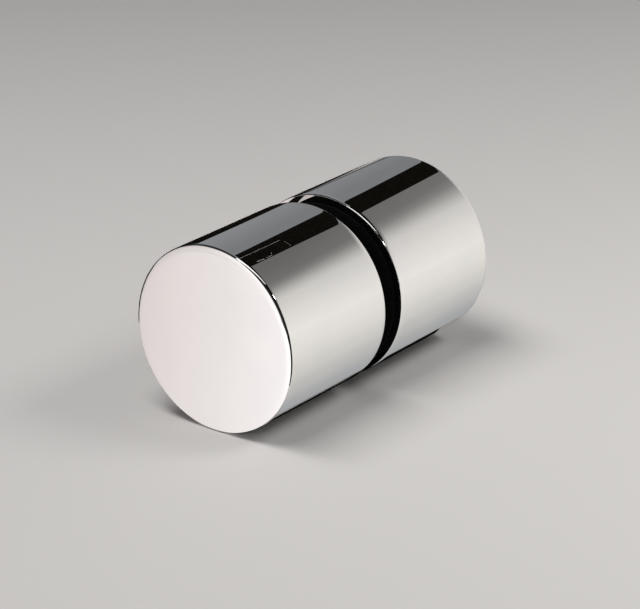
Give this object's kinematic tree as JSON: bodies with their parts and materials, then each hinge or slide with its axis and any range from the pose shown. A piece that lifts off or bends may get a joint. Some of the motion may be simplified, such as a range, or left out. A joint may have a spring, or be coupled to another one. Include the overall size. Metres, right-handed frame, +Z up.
{
  "type": "shower door handle",
  "caption": "Back-to-back plain chrome cylinder knobs on a common stud, with rubber gaskets and a sleeve, clamped through a hole in a glass shower door.",
  "frame": {"origin": "centre of the hole in the glass, at the middle of the pane's thickness, which is also the centre of the pair", "axes": "+Y along the knobs' common axis, from the front knob through the pane to the rear knob; +Z up along the pane; +X to the right as seen from the front"},
  "size_m": [0.038, 0.0664, 0.038],
  "materials": {
    "polished_chrome": "mirror-polished chrome plate on turned brass",
    "black_rubber": "matt black rubber sheet, cut to a ring",
    "black_nylon": "satin black nylon tube",
    "plated_steel": "zinc-plated steel screw thread"
  },
  "bodies": {
    "root": {"front_knob": "polished_chrome", "rear_knob": "polished_chrome", "front_gasket": "black_rubber", "rear_gasket": "black_rubber", "glass_sleeve": "black_nylon", "threaded_stud": "plated_steel"}
  },
  "joints": []
}
